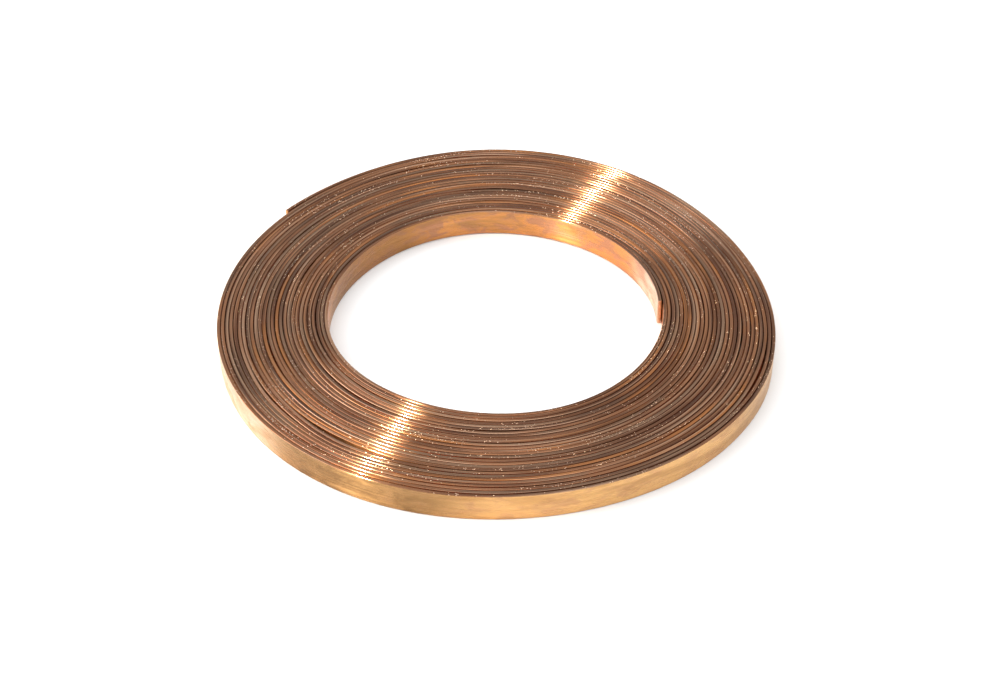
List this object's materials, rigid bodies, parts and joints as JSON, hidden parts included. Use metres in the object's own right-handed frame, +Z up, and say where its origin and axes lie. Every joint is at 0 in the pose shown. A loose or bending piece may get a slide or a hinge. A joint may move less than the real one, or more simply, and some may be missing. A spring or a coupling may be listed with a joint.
{
  "type": "coil of bare copper strip",
  "caption": "Flat pancake coil of bare copper strip wound on edge around an open eye, with two free cut ends, for unwinding by hand.",
  "frame": {"origin": "on the coil's axis, at the surface that the coil lies on", "axes": "+Z up along the coil's axis; the strip spirals outwards counterclockwise seen from above; +Y lies between the outer free end, at azimuth 144 degrees, and the seam line at 50 degrees"},
  "size_m": [0.4841, 0.4793, 0.0257],
  "materials": {
    "bare_copper": "drawn copper, bright on the faces and tarnished brown on the edges"
  },
  "bodies": {
    "lap_01": {"lap_01": "bare_copper"},
    "lap_02": {"lap_02": "bare_copper"},
    "lap_03": {"lap_03": "bare_copper"},
    "lap_04": {"lap_04": "bare_copper"},
    "lap_05": {"lap_05": "bare_copper"},
    "lap_06": {"lap_06": "bare_copper"},
    "lap_07": {"lap_07": "bare_copper"},
    "lap_08": {"lap_08": "bare_copper"},
    "lap_09": {"lap_09": "bare_copper"},
    "lap_10": {"lap_10": "bare_copper"},
    "lap_11": {"lap_11": "bare_copper"},
    "lap_12": {"lap_12": "bare_copper"},
    "lap_13": {"lap_13": "bare_copper"},
    "lap_14": {"lap_14": "bare_copper"},
    "lap_15": {"lap_15": "bare_copper"},
    "lap_16": {"lap_16": "bare_copper"},
    "lap_17": {"lap_17": "bare_copper"},
    "lap_18": {"lap_18": "bare_copper"},
    "lap_19": {"lap_19": "bare_copper"},
    "lap_20": {"lap_20": "bare_copper"},
    "lap_21": {"lap_21": "bare_copper"},
    "lap_22": {"lap_22": "bare_copper"},
    "lap_23": {"lap_23": "bare_copper"},
    "lap_24": {"lap_24": "bare_copper"},
    "lap_25": {"lap_25": "bare_copper"},
    "lap_26": {"lap_26": "bare_copper"},
    "lap_27": {"lap_27": "bare_copper"},
    "inner_tail_1": {"inner_tail_1": "bare_copper"},
    "inner_tail_2": {"inner_tail_2": "bare_copper"},
    "inner_tail_3": {"inner_tail_3": "bare_copper"},
    "outer_tail_1": {"outer_tail_1": "bare_copper"},
    "outer_tail_2": {"outer_tail_2": "bare_copper"},
    "outer_tail_3": {"outer_tail_3": "bare_copper"},
    "outer_tail_4": {"outer_tail_4": "bare_copper"},
    "outer_tail_5": {"outer_tail_5": "bare_copper"},
    "outer_tail_6": {"outer_tail_6": "bare_copper"}
  },
  "joints": [
    {"name": "lap_26_rise", "type": "slide", "parent": "lap_27", "child": "lap_26", "axis": [0, 0, 1], "range_m": [0, 0.004]},
    {"name": "lap_25_rise", "type": "slide", "parent": "lap_26", "child": "lap_25", "axis": [0, 0, 1], "range_m": [0, 0.004]},
    {"name": "lap_24_rise", "type": "slide", "parent": "lap_25", "child": "lap_24", "axis": [0, 0, 1], "range_m": [0, 0.004]},
    {"name": "lap_23_rise", "type": "slide", "parent": "lap_24", "child": "lap_23", "axis": [0, 0, 1], "range_m": [0, 0.004]},
    {"name": "lap_22_rise", "type": "slide", "parent": "lap_23", "child": "lap_22", "axis": [0, 0, 1], "range_m": [0, 0.004]},
    {"name": "lap_21_rise", "type": "slide", "parent": "lap_22", "child": "lap_21", "axis": [0, 0, 1], "range_m": [0, 0.004]},
    {"name": "lap_20_rise", "type": "slide", "parent": "lap_21", "child": "lap_20", "axis": [0, 0, 1], "range_m": [0, 0.004]},
    {"name": "lap_19_rise", "type": "slide", "parent": "lap_20", "child": "lap_19", "axis": [0, 0, 1], "range_m": [0, 0.004]},
    {"name": "lap_18_rise", "type": "slide", "parent": "lap_19", "child": "lap_18", "axis": [0, 0, 1], "range_m": [0, 0.004]},
    {"name": "lap_17_rise", "type": "slide", "parent": "lap_18", "child": "lap_17", "axis": [0, 0, 1], "range_m": [0, 0.004]},
    {"name": "lap_16_rise", "type": "slide", "parent": "lap_17", "child": "lap_16", "axis": [0, 0, 1], "range_m": [0, 0.004]},
    {"name": "lap_15_rise", "type": "slide", "parent": "lap_16", "child": "lap_15", "axis": [0, 0, 1], "range_m": [0, 0.004]},
    {"name": "lap_14_rise", "type": "slide", "parent": "lap_15", "child": "lap_14", "axis": [0, 0, 1], "range_m": [0, 0.004]},
    {"name": "lap_13_rise", "type": "slide", "parent": "lap_14", "child": "lap_13", "axis": [0, 0, 1], "range_m": [0, 0.004]},
    {"name": "lap_12_rise", "type": "slide", "parent": "lap_13", "child": "lap_12", "axis": [0, 0, 1], "range_m": [0, 0.004]},
    {"name": "lap_11_rise", "type": "slide", "parent": "lap_12", "child": "lap_11", "axis": [0, 0, 1], "range_m": [0, 0.004]},
    {"name": "lap_10_rise", "type": "slide", "parent": "lap_11", "child": "lap_10", "axis": [0, 0, 1], "range_m": [0, 0.004]},
    {"name": "lap_09_rise", "type": "slide", "parent": "lap_10", "child": "lap_09", "axis": [0, 0, 1], "range_m": [0, 0.004]},
    {"name": "lap_08_rise", "type": "slide", "parent": "lap_09", "child": "lap_08", "axis": [0, 0, 1], "range_m": [0, 0.004]},
    {"name": "lap_07_rise", "type": "slide", "parent": "lap_08", "child": "lap_07", "axis": [0, 0, 1], "range_m": [0, 0.004]},
    {"name": "lap_06_rise", "type": "slide", "parent": "lap_07", "child": "lap_06", "axis": [0, 0, 1], "range_m": [0, 0.004]},
    {"name": "lap_05_rise", "type": "slide", "parent": "lap_06", "child": "lap_05", "axis": [0, 0, 1], "range_m": [0, 0.004]},
    {"name": "lap_04_rise", "type": "slide", "parent": "lap_05", "child": "lap_04", "axis": [0, 0, 1], "range_m": [0, 0.004]},
    {"name": "lap_03_rise", "type": "slide", "parent": "lap_04", "child": "lap_03", "axis": [0, 0, 1], "range_m": [0, 0.004]},
    {"name": "lap_02_rise", "type": "slide", "parent": "lap_03", "child": "lap_02", "axis": [0, 0, 1], "range_m": [0, 0.004]},
    {"name": "lap_01_rise", "type": "slide", "parent": "lap_02", "child": "lap_01", "axis": [0, 0, 1], "range_m": [0, 0.004]},
    {"name": "outer_tail_1_uncoil", "type": "hinge", "parent": "lap_27", "child": "outer_tail_1", "pos_m": [0.15322, 0.1826, 0.0125], "axis": [0, 0, -1], "range_deg": [0, 15]},
    {"name": "outer_tail_2_uncoil", "type": "hinge", "parent": "outer_tail_1", "child": "outer_tail_2", "pos_m": [0.09906, 0.21906, 0.0125], "axis": [0, 0, -1], "range_deg": [0, 15]},
    {"name": "outer_tail_3_uncoil", "type": "hinge", "parent": "outer_tail_2", "child": "outer_tail_3", "pos_m": [0.03635, 0.23844, 0.0125], "axis": [0, 0, -1], "range_deg": [0, 15]},
    {"name": "outer_tail_4_uncoil", "type": "hinge", "parent": "outer_tail_3", "child": "outer_tail_4", "pos_m": [-0.02933, 0.23884, 0.0125], "axis": [0, 0, -1], "range_deg": [0, 15]},
    {"name": "outer_tail_5_uncoil", "type": "hinge", "parent": "outer_tail_4", "child": "outer_tail_5", "pos_m": [-0.09201, 0.22031, 0.0125], "axis": [0, 0, -1], "range_deg": [0, 15]},
    {"name": "outer_tail_6_uncoil", "type": "hinge", "parent": "outer_tail_5", "child": "outer_tail_6", "pos_m": [-0.14772, 0.18682, 0.0125], "axis": [0, 0, -1], "range_deg": [0, 15]},
    {"name": "inner_tail_1_curl", "type": "hinge", "parent": "lap_01", "child": "inner_tail_1", "pos_m": [0.09039, 0.10772, 0.0125], "axis": [0, 0, -1], "range_deg": [0, 12]},
    {"name": "inner_tail_2_curl", "type": "hinge", "parent": "inner_tail_1", "child": "inner_tail_2", "pos_m": [0.11848, 0.07991, 0.0125], "axis": [0, 0, -1], "range_deg": [0, 12]},
    {"name": "inner_tail_3_curl", "type": "hinge", "parent": "inner_tail_2", "child": "inner_tail_3", "pos_m": [0.13751, 0.04468, 0.0125], "axis": [0, 0, -1], "range_deg": [0, 12]}
  ],
  "couplings": [
    {"joint": "lap_25_rise", "follows": "lap_26_rise", "ratio": 1},
    {"joint": "lap_24_rise", "follows": "lap_26_rise", "ratio": 1},
    {"joint": "lap_23_rise", "follows": "lap_26_rise", "ratio": 1},
    {"joint": "lap_22_rise", "follows": "lap_26_rise", "ratio": 1},
    {"joint": "lap_21_rise", "follows": "lap_26_rise", "ratio": 1},
    {"joint": "lap_20_rise", "follows": "lap_26_rise", "ratio": 1},
    {"joint": "lap_19_rise", "follows": "lap_26_rise", "ratio": 1},
    {"joint": "lap_18_rise", "follows": "lap_26_rise", "ratio": 1},
    {"joint": "lap_17_rise", "follows": "lap_26_rise", "ratio": 1},
    {"joint": "lap_16_rise", "follows": "lap_26_rise", "ratio": 1},
    {"joint": "lap_15_rise", "follows": "lap_26_rise", "ratio": 1},
    {"joint": "lap_14_rise", "follows": "lap_26_rise", "ratio": 1},
    {"joint": "lap_13_rise", "follows": "lap_26_rise", "ratio": 1},
    {"joint": "lap_12_rise", "follows": "lap_26_rise", "ratio": 1},
    {"joint": "lap_11_rise", "follows": "lap_26_rise", "ratio": 1},
    {"joint": "lap_10_rise", "follows": "lap_26_rise", "ratio": 1},
    {"joint": "lap_09_rise", "follows": "lap_26_rise", "ratio": 1},
    {"joint": "lap_08_rise", "follows": "lap_26_rise", "ratio": 1},
    {"joint": "lap_07_rise", "follows": "lap_26_rise", "ratio": 1},
    {"joint": "lap_06_rise", "follows": "lap_26_rise", "ratio": 1},
    {"joint": "lap_05_rise", "follows": "lap_26_rise", "ratio": 1},
    {"joint": "lap_04_rise", "follows": "lap_26_rise", "ratio": 1},
    {"joint": "lap_03_rise", "follows": "lap_26_rise", "ratio": 1},
    {"joint": "lap_02_rise", "follows": "lap_26_rise", "ratio": 1},
    {"joint": "lap_01_rise", "follows": "lap_26_rise", "ratio": 1},
    {"joint": "outer_tail_2_uncoil", "follows": "outer_tail_1_uncoil", "ratio": 1},
    {"joint": "outer_tail_3_uncoil", "follows": "outer_tail_1_uncoil", "ratio": 1},
    {"joint": "outer_tail_4_uncoil", "follows": "outer_tail_1_uncoil", "ratio": 1},
    {"joint": "outer_tail_5_uncoil", "follows": "outer_tail_1_uncoil", "ratio": 1},
    {"joint": "outer_tail_6_uncoil", "follows": "outer_tail_1_uncoil", "ratio": 1},
    {"joint": "inner_tail_2_curl", "follows": "inner_tail_1_curl", "ratio": 1},
    {"joint": "inner_tail_3_curl", "follows": "inner_tail_1_curl", "ratio": 1}
  ]
}
